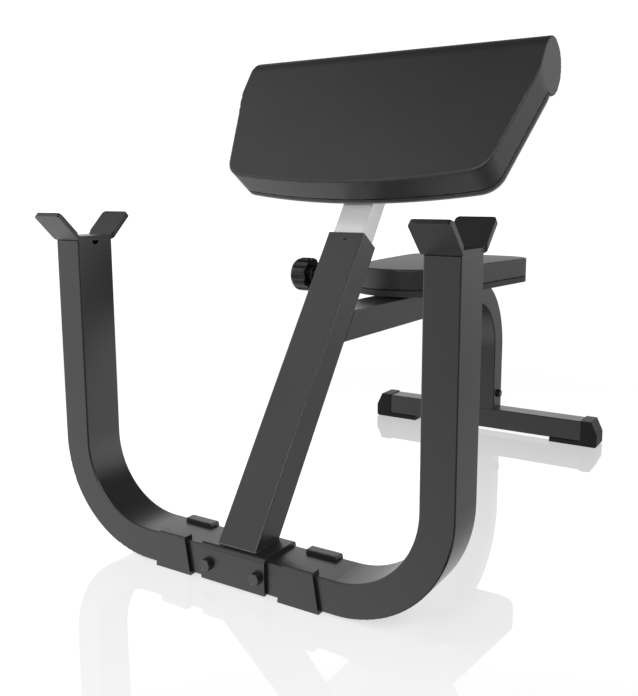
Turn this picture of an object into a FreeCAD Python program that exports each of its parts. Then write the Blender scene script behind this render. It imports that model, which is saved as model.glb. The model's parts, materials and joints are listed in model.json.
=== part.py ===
import FreeCAD, Part
import math
import os
import types

from FreeCAD import Placement, Rotation, Vector

# Preacher curl bench, in millimetres. +X is the bench's right as seen from the front, +Y runs back to
# the seat, +Z is up. The origin is on the floor, in the middle of the bench's outline.

doc = FreeCAD.newDocument("PreacherCurlBench")
sheet = doc.addObject("Spreadsheet::Sheet", "Dims")

drivingSizes = {
    # frame tube, bent to the same radius in front and at the rear leg
    "tubeWide": 72.8,
    "tubeNarrow": 52,
    "tubeWall": 2,
    "tubeCorner": 2.5,
    "bendRadius": 155,
    # front U: width over the uprights, height of their tops, vent notch under each catch
    "frameSpan": 722,
    "uprightTop": 520.5,
    "ventRadius": 7,
    # from the front of the U to the back of the rear leg
    "benchReach": 1056.4,
    # bar catches
    "catchThick": 8,
    "catchWidth": 58,
    "catchWing": 58,
    "catchFlare": 45.5,
    "catchBend": 1,
    "catchCorner": 6,
    # foot clips round the base
    "clipThick": 6,
    "clipSole": 3.2,
    "clipFoot": 72,
    "clipHead": 52,
    "clipLip": 12,
    "clipHook": 20,
    "clipHookThick": 6,
    "clipHookTurn": 5,
    "clipSpacing": 240,
    "clipEdge": 1.5,
    # saddle over the base
    "saddleThick": 6,
    "saddleWidth": 122,
    "saddleEdge": 1.5,
    "saddleBoltSpacing": 94,
    # leaning sleeve
    "sleeveLean": 35,
    "sleeveLength": 553.5,
    "sleeveSetBack": 1.5,
    "bushLength": 60,
    "bushSlack": 0.3,
    "buttonRadius": 4.5,
    "buttonDrop": 12,
    "buttonProud": 2,
    "buttonSlack": 0.1,
    # post and its row of holes
    "postWide": 62.4,
    "postDeep": 41,
    "postWall": 2,
    "postCorner": 3,
    "postLength": 588,
    "postDepth": 323,
    "holePitch": 25,
    "holesAbove": 2,
    "holesBelow": 6,
    "glideHeight": 12,
    "plugStem": 25,
    "plugWall": 3,
    "capHeight": 4,
    "capEdge": 1.5,
    # pull pin: how far below the sleeve's mouth it sits, then sizes along its axis out from the sleeve's side
    "pinDrop": 75,
    "pinRadius": 5,
    "pinSlack": 0.1,
    "pinChamfer": 1,
    "pinClear": 0.3,
    "pinTravel": 8,
    "collarRadius": 6.1,
    "collarThick": 3,
    "shankRadius": 4,
    "bossRadius": 13,
    "bossHeight": 12,
    "bossBore": 8,
    "barrelSlack": 0.1,
    "barrelGuide": 4,
    "barrelFlats": 22,
    "barrelFlange": 4,
    "barrelRadius": 8.5,
    "barrelEnd": 2,
    "barrelReach": 28,
    "springWall": 1.6,
    "springRadius": 6.2,
    "chamberSlack": 0.3,
    # knob
    "knobRadius": 30,
    "knobStart": 20,
    "knobLength": 37,
    "knobShoulder": 12,
    "knobDome": 3,
    "knobRim": 1.5,
    "knobHubRadius": 18,
    "knobHub": 8,
    "knobRoom": 1,
    "knobHold": 15,
    "knobFit": 0.05,
    "knobFlutes": 8,
    "knobSet": 5,
    "fluteRadius": 11,
    "fluteDepth": 3,
    # arm pad, its board and bracket
    "padStandoff": 61,
    "padSlope": 270,
    "padThick": 59,
    "padRoll": 50,
    "padWidth": 612.5,
    "padLowWidth": 524,
    "padLowRise": 23.5,
    "padShoulder": 216,
    "padCorner": 44,
    "padShoulderCurve": 90,
    "padCrown": 3,
    "padEdge": 2,
    "padTuck": 3,
    "padBoardThick": 12,
    "padBoardInset": 0.2,
    "boardGap": 0.3,
    "bracketThick": 4,
    "bracketWidth": 220,
    "bracketHeight": 140,
    "bracketRise": 56,
    "bracketCorner": 12,
    "padBoltAcross": 160,
    "padBoltAlong": 80,
    # seat
    "seatFront": 478.4,
    "seatLength": 469,
    "seatNose": 110,
    "seatRearWidth": 300.5,
    "seatRearCorner": 60,
    "seatThick": 43,
    "seatTuck": 0.4,
    "seatEdge": 2.5,
    "seatCrown": 1.5,
    "seatBoardThick": 12,
    "seatBoardInset": 0.1,
    "beamTop": 396.5,
    "seatPlateThick": 3,
    "seatPlateLong": 200,
    "seatPlateWide": 40,
    "seatPlateFront": 150,
    "seatPlateRear": 350,
    "seatBoltAcross": 150,
    # rear foot
    "barSide": 50,
    "barSole": 10,
    "barLength": 556,
    "capWall": 2,
    "capEnd": 17.5,
    "capSkirt": 40,
    "capPad": 114.5,
    "capSlope": 14.5,
    "capSlopeDrop": 31,
    "capFoot": 6,
    "capRound": 2,
    "spigotSlack": 0.3,
    "spigotWall": 3,
    "spigotHeight": 70,
    "legBoltRise": 37,
    # fasteners
    "tenShank": 10,
    "tenFlats": 17,
    "tenHead": 6.4,
    "tenNut": 8,
    "tenWasher": 20,
    "tenWasherThick": 2,
    "eightShank": 8,
    "eightFlats": 13,
    "eightHead": 5.3,
    "eightWasher": 18,
    "eightWasherThick": 1.6,
    "teeFlange": 20,
    "teeFlangeThick": 1.5,
    "teeBarrel": 11,
    "teeShort": 1,
    "boltStub": 4,
    "headSlope": 30,
    "boltSlack": 0.25,
    "threadSlack": 0.05,
    # how far every cutting shape runs past what it cuts
    "overrun": 10,
}
crownShare = 0.95
# places nearer than this count as one
closeness = 1e-3

for row, (alias, value) in enumerate(drivingSizes.items(), start=1):
    sheet.set(f"A{row}", alias)
    sheet.set(f"B{row}", str(value))
    sheet.setAlias(f"B{row}", alias)
doc.recompute()
d = types.SimpleNamespace(**{alias: float(sheet.get(alias)) for alias in drivingSizes})

# places worked out from the driving sizes
lean = math.radians(d.sleeveLean)
catchReach = d.catchWing * math.sin(math.radians(d.catchFlare))
frontY = (catchReach - d.benchReach - d.capWall) / 2
baseY = frontY + d.tubeWide / 2
uprightX = (d.frameSpan - d.tubeNarrow) / 2
baseZ = d.clipSole + d.tubeNarrow / 2
baseTop = d.clipSole + d.tubeNarrow
sleeveFoot = baseTop + d.saddleThick
pinHeight = d.sleeveLength - d.pinDrop
legY = frontY + d.benchReach - d.tubeNarrow / 2
barTop = d.barSole + d.barSide
beamZ = d.beamTop - d.tubeNarrow / 2
legBoltZ = barTop + d.legBoltRise
sleeveY = baseY + d.sleeveSetBack
leanFrame = Placement(Vector(0, sleeveY, sleeveFoot), Rotation(Vector(1, 0, 0), -d.sleeveLean))

nodes = []


def node(label, obj, placement=None):
    obj.Label = label
    if placement is not None:
        obj.Placement = placement
    nodes.append(obj)
    return obj


def dims(text):
    # writes size names in an expression as cells of the sheet
    return " ".join("Dims." + word if word in drivingSizes else word for word in text.split())


def bind(obj, **texts):
    for name, text in texts.items():
        obj.setExpression(name, dims(text))
    return obj


def block(name, sizes, corner):
    obj = doc.addObject("Part::Box", name)
    bind(obj, Length=sizes[0], Width=sizes[1], Height=sizes[2])
    obj.Placement = Placement(Vector(*corner), Rotation())
    return obj


def along(axis):
    return Rotation(Vector(0, 0, 1), Vector(*axis))


def rod(name, radius, height, start, axis):
    obj = bind(doc.addObject("Part::Cylinder", name), Radius=radius, Height=height)
    obj.Placement = Placement(Vector(*start), along(axis))
    return obj


def hexPrism(name, flats, height, start, axis):
    obj = doc.addObject("Part::Prism", name)
    obj.Polygon = 6
    bind(obj, Circumradius=f"{flats} / sqrt(3)", Height=height)
    obj.Placement = Placement(Vector(*start), along(axis))
    return obj


def fuse(name, shapes):
    obj = doc.addObject("Part::MultiFuse", name)
    obj.Shapes = shapes
    obj.Refine = True
    return obj


def cut(name, base, tools):
    obj = doc.addObject("Part::Cut", name)
    obj.Base = base
    obj.Tool = tools[0] if len(tools) == 1 else fuse(name + "Tools", tools)
    return obj


def common(name, first, second):
    obj = doc.addObject("Part::Common", name)
    obj.Base = first
    obj.Tool = second
    return obj


def gather(name, shapes):
    obj = doc.addObject("Part::Compound", name)
    obj.Links = shapes
    return obj


def newBody(name):
    return doc.addObject("PartDesign::Body", name)


def plane(body, role):
    return next(item for item in body.Origin.OriginFeatures if item.Role == role)


def sketchOn(body, role, name, offset=0.0):
    sketch = body.newObject("Sketcher::SketchObject", name)
    sketch.AttachmentSupport = (plane(body, role), [""])
    sketch.MapMode = "FlatFace"
    sketch.AttachmentOffset = Placement(Vector(0, 0, offset), Rotation())
    return sketch


def addOutline(sketch, edges):
    for edge in edges:
        sketch.addGeometry(edge, False)


def line(start, end):
    return Part.LineSegment(Vector(*start, 0), Vector(*end, 0))


def arc(start, middle, end):
    return Part.Arc(Vector(*start, 0), Vector(*middle, 0), Vector(*end, 0))


def roundCorner(before, corner, after, radius):
    # tangent arc that rounds one corner of an outline: its start, middle and end
    toBefore = (Vector(*before) - Vector(*corner)).normalize()
    toAfter = (Vector(*after) - Vector(*corner)).normalize()
    half = toBefore.getAngle(toAfter) / 2
    inward = (toBefore + toAfter).normalize()
    reach = radius / math.tan(half)
    centre = Vector(*corner) + inward * (radius / math.sin(half))
    points = (
        Vector(*corner) + toBefore * reach,
        centre - inward * radius,
        Vector(*corner) + toAfter * reach,
    )
    return [(point.x, point.y) for point in points]


def polygon(corners, radii):
    # closed outline through the corners, each rounded by its radius
    edges = []
    count = len(corners)
    flat = [(*corner, 0) for corner in corners]
    rounds = []
    for index, radius in enumerate(radii):
        if radius > 0:
            rounds.append(roundCorner(flat[index - 1], flat[index], flat[(index + 1) % count], radius))
        else:
            rounds.append([corners[index]] * 3)
    for index, radius in enumerate(radii):
        if radius > 0:
            edges.append(arc(*rounds[index]))
        edges.append(line(rounds[index][2], rounds[(index + 1) % count][0]))
    return edges


def rectangle(width, depth, radius, centre=(0.0, 0.0)):
    x, y = centre
    right, back = width / 2, depth / 2
    corners = [(x - right, y - back), (x + right, y - back), (x + right, y + back), (x - right, y + back)]
    return polygon(corners, [radius] * len(corners))


def tubeProfile(sketch, width, depth, wall, corner, centre=(0.0, 0.0)):
    addOutline(sketch, rectangle(width, depth, corner, centre))
    addOutline(sketch, rectangle(width - 2 * wall, depth - 2 * wall, corner - wall, centre))


def pad(body, sketch, length, midplane=False):
    feature = body.newObject("PartDesign::Pad", body.Name + "Pad")
    feature.Profile = sketch
    feature.Midplane = midplane
    bind(feature, Length=length)
    return feature


def fillet(body, edges, radius):
    base = body.Tip
    feature = body.newObject("PartDesign::Fillet", body.Name + "Fillet")
    names = [f"Edge{index + 1}" for index, edge in enumerate(base.Shape.Edges) if edges(edge)]
    feature.Base = (base, names)
    bind(feature, Radius=radius)
    doc.recompute()
    return feature


def straightTube(name, width, depth, wall, corner, length, start):
    body = newBody(name)
    sketch = sketchOn(body, "XY_Plane", name + "Section", start)
    tubeProfile(sketch, width, depth, wall, corner)
    pad(body, sketch, length)
    return body


def bentTube(name, profileHeight, centre, width, depth, pathRole, path):
    # hollow tube drawn along a path of straight runs and bends
    body = newBody(name)
    section = sketchOn(body, "XY_Plane", name + "Section", profileHeight)
    tubeProfile(section, width, depth, d.tubeWall, d.tubeCorner, centre)
    route = sketchOn(body, pathRole, name + "Path")
    addOutline(route, path)
    doc.recompute()
    pipe = body.newObject("PartDesign::AdditivePipe", name + "Pipe")
    pipe.Profile = section
    pipe.Spine = route
    return body


def at(point):
    return lambda value: abs(value - point) < closeness


isFlat = at(0.0)


def middle(edge):
    return edge.valueAt((edge.FirstParameter + edge.LastParameter) / 2)


def direction(edge):
    ends = edge.valueAt(edge.LastParameter) - edge.valueAt(edge.FirstParameter)
    return ends.normalize() if ends.Length > 0 else Vector()


def runsAlong(edge, axis):
    return edge.Curve.TypeId == "Part::GeomLine" and at(1.0)(abs(direction(edge).dot(Vector(*axis))))


# hex heads, nuts and washers
def hexHead(name, size, height, start, axis):
    prism = hexPrism(name + "Hex", size + "Flats", height, start, axis)
    cone = doc.addObject("Part::Cone", name + "Cone")
    crown = f"{size}Flats / 2 * {crownShare}"
    bind(cone, Radius1=f"{crown} + {height} / tan( headSlope * 1deg )", Radius2=crown, Height=height)
    cone.Placement = Placement(Vector(*start), along(axis))
    return common(name, prism, cone)


def hexBolt(name, size, seat, axis, length):
    head = hexHead(name + "Head", size, size + "Head", seat, [-part for part in axis])
    shank = rod(name + "Shank", size + "Shank / 2", length, seat, axis)
    return fuse(name, [head, shank])


def hexNut(name, size, seat, axis):
    body = hexHead(name + "Body", size, size + "Nut", seat, axis)
    bore = rod(name + "Bore", size + "Shank / 2 + threadSlack", size + "Nut", seat, axis)
    return cut(name, body, [bore])


def washer(name, size, seat, axis):
    disc = rod(name + "Disc", size + "Washer / 2", size + "WasherThick", seat, axis)
    bore = rod(name + "Bore", size + "Shank / 2 + boltSlack", size + "WasherThick", seat, axis)
    return cut(name, disc, [bore])


# front U
def uFrame():
    high = d.uprightTop
    straight = uprightX - d.bendRadius
    bendTop = baseZ + d.bendRadius
    dip = d.bendRadius * math.cos(math.radians(45))
    path = [
        line((-uprightX, high), (-uprightX, bendTop)),
        arc((-uprightX, bendTop), (-straight - dip, bendTop - dip), (-straight, baseZ)),
        line((-straight, baseZ), (straight, baseZ)),
        arc((straight, baseZ), (straight + dip, bendTop - dip), (uprightX, bendTop)),
        line((uprightX, bendTop), (uprightX, high)),
    ]
    body = bentTube("UTube", high, (-uprightX, 0.0), d.tubeNarrow, d.tubeWide, "XZ_Plane", path)
    body.Placement = Placement(Vector(0, baseY, 0), Rotation())
    tools = [saddleHole(side) for side in (-1, 1)]
    for side in (-1, 1):
        start = (side * (uprightX - d.tubeNarrow / 2 - d.overrun), baseY, high)
        tools.append(rod("VentNotch", "ventRadius", "overrun + tubeWall * 2", start, (side, 0, 0)))
    node("u_frame", cut("UFrame", body, tools))


def saddleHole(side):
    start = (side * d.saddleBoltSpacing / 2, frontY - d.saddleThick - d.overrun, baseZ)
    depth = "tubeWide + 2 * saddleThick + 2 * overrun"
    return rod("SaddleHole", "tenShank / 2 + boltSlack", depth, start, (0, 1, 0))


# bent plate on top of an upright: flat floor, two wings flared out over the front and the back
def barCatch(label, side):
    flare = math.radians(d.catchFlare)
    half = d.tubeWide / 2
    wingOut = d.catchWing * math.sin(flare)
    wingUp = d.catchWing * math.cos(flare)
    inset = d.catchThick * math.tan((math.pi / 2 - flare) / 2)
    skewOut = d.catchThick * math.cos(flare)
    skewUp = d.catchThick * math.sin(flare)
    outer = [(half, 0.0), (half + wingOut, wingUp)]
    inner = [(half + wingOut - skewOut, wingUp + skewUp), (half - inset, d.catchThick)]
    corners = outer + inner
    corners += [(-x, z) for x, z in reversed(corners)]
    bends = [d.catchBend + d.catchThick, 0.0, 0.0, d.catchBend]
    body = newBody("Catch" + label.title().replace("_", ""))
    sketch = sketchOn(body, "YZ_Plane", body.Name + "Section")
    addOutline(sketch, polygon(corners, bends + bends[::-1]))
    pad(body, sketch, "catchWidth", True)
    doc.recompute()
    tip = half + wingOut - skewOut / 2
    tipCorner = lambda edge: at(d.catchThick)(edge.Length) and at(tip)(abs(middle(edge).y))
    fillet(body, tipCorner, "catchCorner")
    # the floor is only as wide as the tube, and the wings lose their lower corners where they pass it
    notch = newBody(body.Name + "Notch")
    plan = sketchOn(notch, "XY_Plane", notch.Name + "Plan", -d.overrun)
    flush, past = d.tubeNarrow / 2, d.catchWidth / 2 + d.overrun
    far = half + past - flush
    for hand in (-1, 1):
        strip = [(hand * flush, -half), (hand * past, -far), (hand * past, far), (hand * flush, half)]
        addOutline(plan, polygon(strip, [0] * len(strip)))
    pad(notch, plan, "catchWing + overrun")
    place = Placement(Vector(side * uprightX, baseY, d.uprightTop), Rotation())
    node(label, cut(body.Name + "Notched", body, [notch]), place)


# moulded clip: sole, front plate with a lip and rear plate with a hook over the tube, narrower at the top
def footClip(label, side):
    half = d.tubeWide / 2
    out = half + d.clipThick
    top = baseTop + d.clipThick
    hookTop = baseTop + d.clipHookThick
    section = [
        (-out, 0.0), (out, 0.0), (out, hookTop), (out - d.clipHook, hookTop), (out - d.clipHook, baseTop),
        (half, baseTop), (half, d.clipSole), (-half, d.clipSole), (-half, baseTop),
        (-half + d.clipLip, baseTop), (-half + d.clipLip, top), (-out, top),
    ]
    edge = d.clipEdge
    rounds = [edge, edge, d.clipHookTurn, edge, 0, 0, 0, 0, 0, 0, edge, 2 * edge]
    body = newBody("Clip" + label.title().replace("_", ""))
    sketch = sketchOn(body, "YZ_Plane", body.Name + "Section")
    addOutline(sketch, polygon(section, rounds))
    pad(body, sketch, "clipFoot", True)
    mask = newBody("Mask" + label.title().replace("_", ""))
    front = sketchOn(mask, "XZ_Plane", mask.Name + "Front")
    foot, head = d.clipFoot / 2, d.clipHead / 2
    spread = (foot - head) / hookTop * d.overrun
    shape = [(-foot - spread, -d.overrun), (foot + spread, -d.overrun), (head - spread, hookTop + d.overrun),
             (-head + spread, hookTop + d.overrun)]
    addOutline(front, polygon(shape, [0] * len(shape)))
    pad(mask, front, "tubeWide + 2 * clipThick + 2 * overrun", True)
    clip = common("FootClip" + label.title().replace("_", ""), body, mask)
    node(label, clip, Placement(Vector(side * d.clipSpacing / 2, baseY, 0), Rotation()))


# plate bent over the base, its flanges bolted through the tube
def saddle():
    half = d.tubeWide / 2
    out = half + d.saddleThick
    section = [(-out, d.clipSole), (-half, d.clipSole), (-half, baseTop), (half, baseTop), (half, d.clipSole),
               (out, d.clipSole), (out, sleeveFoot), (-out, sleeveFoot)]
    body = newBody("SaddlePlate")
    sketch = sketchOn(body, "YZ_Plane", "SaddleSection")
    outside = d.saddleThick + d.saddleEdge
    addOutline(sketch, polygon(section, [0, 0, d.saddleEdge, d.saddleEdge, 0, 0, outside, outside]))
    pad(body, sketch, "saddleWidth", True)
    body.Placement = Placement(Vector(0, baseY, 0), Rotation())
    node("saddle_bracket", cut("Saddle", body, [saddleHole(side) for side in (-1, 1)]))
    bolts, washers, nuts = [], [], []
    reach = "tubeWide + 2 * saddleThick + 2 * tenWasherThick + tenNut + boltStub"
    front = frontY - d.saddleThick
    back = frontY + d.tubeWide + d.saddleThick
    for side in (-1, 1):
        x = side * d.saddleBoltSpacing / 2
        bolts.append(hexBolt("SaddleBolt", "ten", (x, front - d.tenWasherThick, baseZ), (0, 1, 0), reach))
        washers.append(washer("SaddleWasherFront", "ten", (x, front, baseZ), (0, -1, 0)))
        washers.append(washer("SaddleWasherBack", "ten", (x, back, baseZ), (0, 1, 0)))
        nuts.append(hexNut("SaddleNut", "ten", (x, back + d.tenWasherThick, baseZ), (0, 1, 0)))
    node("saddle_bolts", gather("SaddleBolts", bolts))
    node("saddle_washers", gather("SaddleWashers", washers))
    node("saddle_nuts", gather("SaddleNuts", nuts))


# leaning sleeve, in its own frame: z along its axis, y square to it, the level foot through the origin
def sleeve():
    rise = d.tubeNarrow / 2 * math.tan(lean)
    body = newBody("SleeveTube")
    sketch = sketchOn(body, "XY_Plane", "SleeveSection", -rise)
    tubeProfile(sketch, d.tubeWide, d.tubeNarrow, d.tubeWall, d.tubeCorner)
    pad(body, sketch, "sleeveLength + tubeNarrow / 2 * tan( sleeveLean * 1deg )")
    below = block("SleeveFootCut", ["tubeWide + 2 * overrun", "2 * tubeNarrow", "tubeNarrow"], (0, 0, 0))
    level = Rotation(Vector(1, 0, 0), d.sleeveLean)
    corner = Vector(-d.tubeWide / 2 - d.overrun, -d.tubeNarrow, -d.tubeNarrow)
    below.Placement = Placement(level.multVec(corner), level)
    face = -d.tubeNarrow / 2
    button = rod("ButtonHole", "buttonRadius", "tubeWall + 2 * overrun",
                 (0, face - d.overrun, d.sleeveLength - d.buttonDrop), (0, 1, 0))
    side = (-d.tubeWide / 2 - d.overrun, 0, pinHeight)
    pinHole = rod("SleevePinHole", "pinRadius + pinClear", "overrun + 2 * tubeWall", side, (1, 0, 0))
    node("post_sleeve", cut("Sleeve", body, [below, button, pinHole]), leanFrame)

    start = d.sleeveLength - d.bushLength
    liner = newBody("BushLiner")
    section = sketchOn(liner, "XY_Plane", "BushSection", start)
    addOutline(section, rectangle(d.tubeWide - 2 * d.tubeWall, d.tubeNarrow - 2 * d.tubeWall,
                                  d.tubeCorner - d.tubeWall))
    addOutline(section, rectangle(d.postWide + 2 * d.bushSlack, d.postDeep + 2 * d.bushSlack,
                                  d.postCorner + d.bushSlack))
    pad(liner, section, "bushLength")
    stub = rod("BushButton", "buttonRadius - buttonSlack", "buttonProud + tubeWall + tubeWall / 2",
               (0, face - d.buttonProud, d.sleeveLength - d.buttonDrop), (0, 1, 0))
    node("sleeve_bushing", fuse("Bushing", [liner, stub]), leanFrame)


# plated post with the pin's holes down its side, and its plugs
def post():
    foot = d.sleeveLength - d.postDepth
    tube = straightTube("PostTube", d.postWide, d.postDeep, d.postWall, d.postCorner, "postLength", foot)
    holes = []
    for step in range(-int(d.holesBelow), int(d.holesAbove) + 1):
        start = (-d.postWide / 2 - d.overrun, 0, pinHeight + step * d.holePitch)
        holes.append(rod("PostHole", "pinRadius + pinClear", "overrun + 2 * postWall", start, (1, 0, 0)))
    node("pad_post", cut("Post", tube, holes), leanFrame)

    boreWide, boreDeep = d.postWide - 2 * d.postWall, d.postDeep - 2 * d.postWall
    flange = newBody("GlideFlange")
    sketch = sketchOn(flange, "XY_Plane", "GlideSection", foot - d.glideHeight)
    gap = d.tubeWall + d.bushSlack
    addOutline(sketch, rectangle(d.tubeWide - 2 * gap, d.tubeNarrow - 2 * gap, d.tubeCorner - d.tubeWall))
    pad(flange, sketch, "glideHeight")
    stem = plugStem("GlideStem", boreWide, boreDeep, foot)
    node("post_glide", fuse("Glide", [flange, stem]), leanFrame)

    head = foot + d.postLength
    cap = newBody("PostCapHead")
    sketch = sketchOn(cap, "XY_Plane", "PostCapSection", head)
    addOutline(sketch, rectangle(d.postWide, d.postDeep, d.postCorner))
    pad(cap, sketch, "capHeight")
    doc.recompute()
    rim = lambda edge: at(head + d.capHeight)(middle(edge).z)
    fillet(cap, rim, "capEdge")
    stem = plugStem("PostCapStem", boreWide, boreDeep, head - d.plugStem)
    node("post_cap", fuse("PostCap", [cap, stem]), leanFrame)


def plugStem(name, width, depth, start):
    corner = d.postCorner - d.postWall + d.plugWall / 2
    return straightTube(name, width, depth, d.plugWall, corner, "plugStem", start)


# pull pin: boss on the sleeve's side, barrel screwed into it, spring, pin and knob, along -X
def pullPin():
    face = -d.tubeWide / 2
    axis = (-1, 0, 0)

    def out(distance):
        return (face - distance, 0, pinHeight)

    boss = rod("BossBody", "bossRadius", "bossHeight", out(0), axis)
    bore = rod("BossBore", "bossBore", "bossHeight + 2 * overrun", out(-d.overrun), axis)
    node("pin_boss", cut("Boss", boss, [bore]), leanFrame)

    threaded = rod("BarrelThread", "bossBore - barrelSlack", "bossHeight", out(0), axis)
    flange = hexPrism("BarrelFlange", "barrelFlats", "barrelFlange", out(d.bossHeight), axis)
    nose = rod("BarrelNose", "barrelRadius", "barrelReach - bossHeight", out(d.bossHeight), axis)
    guide = rod("BarrelGuideBore", "pinRadius + pinSlack", "barrelGuide + overrun", out(-d.overrun), axis)
    chamber = rod("BarrelChamber", "springRadius + chamberSlack", "barrelReach - barrelGuide - barrelEnd",
                  out(d.barrelGuide), axis)
    exitBore = rod("BarrelExit", "shankRadius + pinSlack", "barrelEnd + overrun",
                   out(d.barrelReach - d.barrelEnd), axis)
    barrel = fuse("BarrelBody", [threaded, flange, nose])
    node("pin_barrel", cut("Barrel", barrel, [guide, chamber, exitBore]), leanFrame)

    # the pin is shown drawn, its tip just clear of the post
    tip = -(d.tubeWide - d.postWide) / 2 + d.pinClear
    collar = d.barrelGuide + d.pinClear + d.pinTravel
    shankStart = collar + d.collarThick
    hubStart = d.knobStart - d.knobHub
    deepEnd = d.barrelReach + d.pinTravel + d.knobRoom
    pinEnd = deepEnd + d.knobHold
    nose = doc.addObject("Part::Cone", "PinNose")
    bind(nose, Radius1="pinRadius - pinChamfer", Radius2="pinRadius", Height="pinChamfer")
    nose.Placement = Placement(Vector(*out(tip)), along(axis))
    tipLength = "barrelGuide + pinTravel + ( tubeWide - postWide ) / 2 - pinChamfer"
    stem = rod("PinStem", "pinRadius", tipLength, out(tip + d.pinChamfer), axis)
    ring = rod("PinCollar", "collarRadius", "collarThick", out(collar), axis)
    shankLength = "barrelReach + knobRoom + knobHold - barrelGuide - pinClear - collarThick"
    shank = rod("PinShank", "shankRadius", shankLength, out(shankStart), axis)
    node("lock_pin", fuse("Pin", [nose, stem, ring, shank]), leanFrame)

    coil = rod("SpringOutside", "springRadius",
               "barrelReach - barrelEnd - barrelGuide - 2 * pinClear - pinTravel - collarThick",
               out(shankStart + d.pinClear), axis)
    hollow = rod("SpringInside", "springRadius - springWall", "barrelReach + overrun", out(collar), axis)
    node("pin_spring", cut("Spring", coil, [hollow]), leanFrame)

    knob(out, hubStart, deepEnd, pinEnd)


def knob(out, hubStart, deepEnd, pinEnd):
    # half section of the knob: distance out from the sleeve, and radius
    end = d.knobStart + d.knobLength
    shoulder = end - d.knobDome
    flat = shoulder - d.knobShoulder
    inner = d.knobRadius - d.knobShoulder
    turn = d.knobShoulder * math.cos(math.radians(45))
    wide = d.bossRadius + d.knobRoom
    stepEnd = d.bossHeight + d.barrelFlange + d.pinTravel + d.knobRoom
    narrow = d.barrelRadius + d.knobRoom
    blind = d.shankRadius + d.knobFit
    bottom = pinEnd + d.bushSlack
    domeRadius = (inner ** 2 + d.knobDome ** 2) / (2 * d.knobDome)
    domeX = math.sqrt(domeRadius ** 2 - (inner / 2) ** 2) - (domeRadius - d.knobDome)
    outline = [
        line((hubStart, wide), (hubStart, d.knobHubRadius)),
        line((hubStart, d.knobHubRadius), (d.knobStart, d.knobHubRadius)),
        line((d.knobStart, d.knobHubRadius), (d.knobStart, d.knobRadius - d.knobRim)),
        line((d.knobStart, d.knobRadius - d.knobRim), (d.knobStart + d.knobRim, d.knobRadius)),
        line((d.knobStart + d.knobRim, d.knobRadius), (flat, d.knobRadius)),
        arc((flat, d.knobRadius), (flat + turn, inner + turn), (shoulder, inner)),
        arc((shoulder, inner), (shoulder + domeX, inner / 2), (end, 0.0)),
        line((end, 0.0), (bottom, 0.0)),
        line((bottom, 0.0), (bottom, blind)),
        line((bottom, blind), (deepEnd, blind)),
        line((deepEnd, blind), (deepEnd, narrow)),
        line((deepEnd, narrow), (stepEnd, narrow)),
        line((stepEnd, narrow), (stepEnd, wide)),
        line((stepEnd, wide), (hubStart, wide)),
    ]
    profile = doc.addObject("Sketcher::SketchObject", "KnobHalf")
    addOutline(profile, outline)
    turned = doc.addObject("Part::Revolution", "KnobTurned")
    turned.Source = profile
    turned.Axis = Vector(1, 0, 0)
    turned.Angle = 360
    turned.Solid = True
    spots = []
    for index in range(int(d.knobFlutes)):
        angle = 2 * math.pi * index / d.knobFlutes + math.radians(d.knobSet)
        ring = d.knobRadius + d.fluteRadius - d.fluteDepth
        start = (d.knobStart - d.overrun, ring * math.cos(angle), ring * math.sin(angle))
        spots.append(rod("KnobFlute", "fluteRadius", "knobLength + 2 * overrun", start, (1, 0, 0)))
    fluted = cut("Knob", turned, spots)
    # the section is drawn along +X; the knob stands out along -X
    facing = Placement(Vector(*out(0)), Rotation(Vector(0, 0, 1), 180))
    node("pull_knob", fluted, leanFrame.multiply(facing))


# the pad's outline seen square to its board: x across, z up the slope from the middle of its lower edge
def padOutline(inset, top, lift=0.0):
    halfLow, half = d.padLowWidth / 2 - inset, d.padWidth / 2 - inset
    rise, shoulder = d.padLowRise + inset, d.padShoulder
    chord = math.hypot(halfLow, d.padLowRise)
    bow = chord ** 2 / (2 * d.padLowRise)
    lowCentre = inset + bow
    slope = (half - halfLow) / (shoulder - rise)
    corner = (halfLow, rise)
    # rounding of the lower corner between the bowed edge and the straight side
    radius = d.padCorner - inset
    side = Vector(slope, 1, 0).normalize()
    normal = Vector(-1, slope, 0).normalize()
    # centre of the rounding lies a radius inside the side and inside the bow
    base = Vector(*corner, 0) + normal * radius
    middleBow = Vector(0, lowCentre, 0)
    away = base - middleBow
    b = away.dot(side)
    c = away.dot(away) - (bow - radius) ** 2
    centre = base - side * (b + math.sqrt(b * b - c))
    onSide = centre - normal * radius
    outwards = (centre - middleBow).normalize()
    onBow = middleBow + outwards * bow
    between = centre + ((onSide - centre).normalize() + (onBow - centre).normalize()).normalize() * radius
    below, bend, above = (onSide.x, onSide.y, 0), (half, shoulder, 0), (half, top, 0)
    shoulderArc = roundCorner(below, bend, above, d.padShoulderCurve)
    right = [(onBow.x, onBow.y), (between.x, between.y), (onSide.x, onSide.y)] + shoulderArc + [(half, top)]
    right = [(x, z + lift) for x, z in right]
    left = [(-x, z) for x, z in right]
    return [
        arc(left[0], (0.0, inset + lift), right[0]),
        arc(right[0], right[1], right[2]),
        line(right[2], right[3]),
        arc(right[3], right[4], right[5]),
        line(right[5], right[6]),
        line(right[6], left[6]),
        line(left[6], left[5]),
        arc(left[5], left[4], left[3]),
        line(left[3], left[2]),
        arc(left[2], left[1], left[0]),
    ]


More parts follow.
